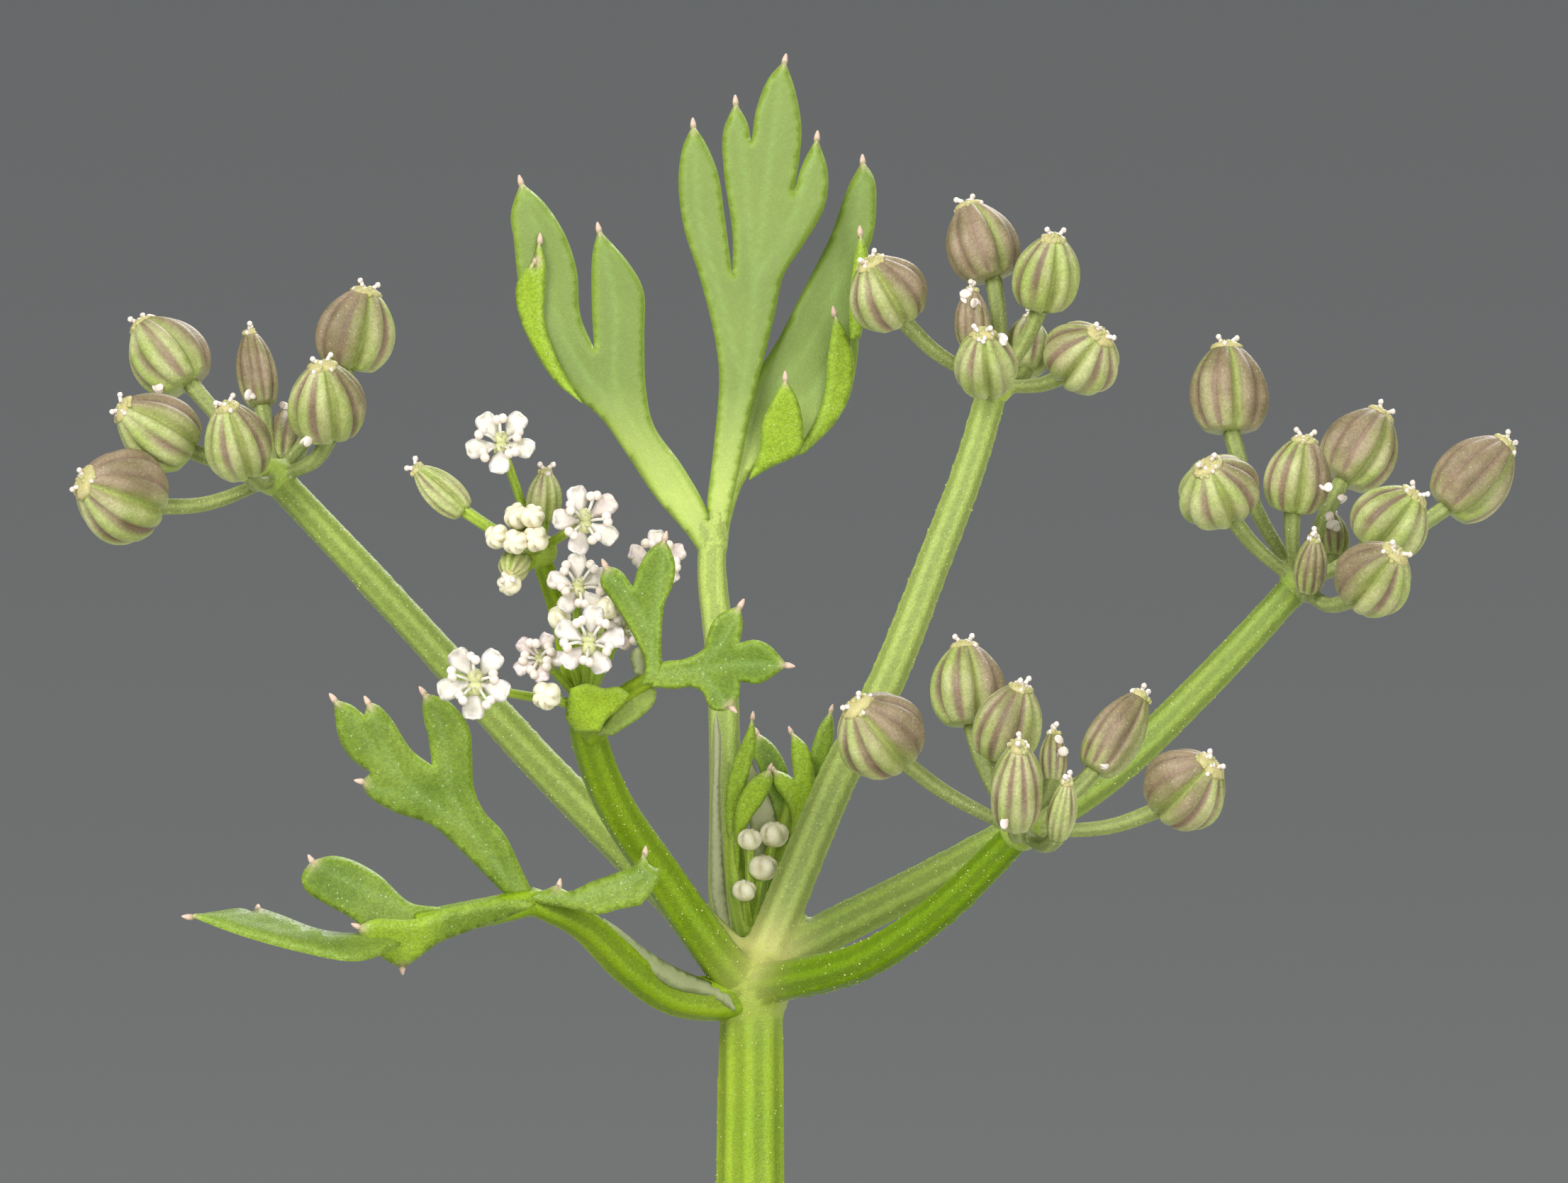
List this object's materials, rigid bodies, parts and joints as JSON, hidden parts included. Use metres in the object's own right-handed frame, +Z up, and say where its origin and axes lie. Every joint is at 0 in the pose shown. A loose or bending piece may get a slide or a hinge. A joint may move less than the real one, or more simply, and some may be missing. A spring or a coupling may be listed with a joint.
{
  "type": "potted sea celery",
  "caption": "Small herb in a plain clay pot, with lobed fleshy leaves and a tall stem whose rays end in clusters of ribbed fruits beside tiny white flowers.",
  "frame": {"origin": "centre of the pot's underside, on the surface that it stands on", "axes": "+Z up; the pictured side of the plant faces -Y, with +X to its right"},
  "size_m": [0.083, 0.0844, 0.1311],
  "materials": {
    "terracotta": "matte",
    "soil": "matte",
    "stem": "satin",
    "leaf": "satin",
    "fruit": "satin",
    "petal": "matte"
  },
  "bodies": {
    "root": {"pot": "terracotta", "soil": "soil", "fruit_umbellet_left": "fruit", "fruit_umbellet_top": "fruit", "fruit_umbellet_right": "fruit", "fruit_umbellet_front": "fruit", "leaf_left": "leaf", "leaf_back": "leaf", "leaf_under_flowers": "leaf", "young_shoot": "leaf", "flower_stalks": "stem", "flower_1": "petal", "flower_2": "petal", "flower_3": "petal", "flower_4": "petal", "flower_5": "petal", "flower_6": "petal", "flower_7": "petal", "flower_8": "petal", "pot_leaf_1": "leaf", "pot_leaf_2": "leaf", "pot_leaf_3": "leaf", "pot_leaf_4": "leaf", "pot_leaf_5": "leaf", "pot_leaf_6": "leaf", "pot_leaf_7": "leaf", "pot_leaf_8": "leaf", "flowering_stem": "stem", "side_stem_right": "stem", "side_stem_left": "stem", "umbel_side_right": "petal", "umbel_side_left": "petal", "umbel_lower": "petal", "stem_leaf_1": "leaf", "stem_leaf_2": "leaf", "stem_leaf_3": "leaf"}
  },
  "joints": []
}
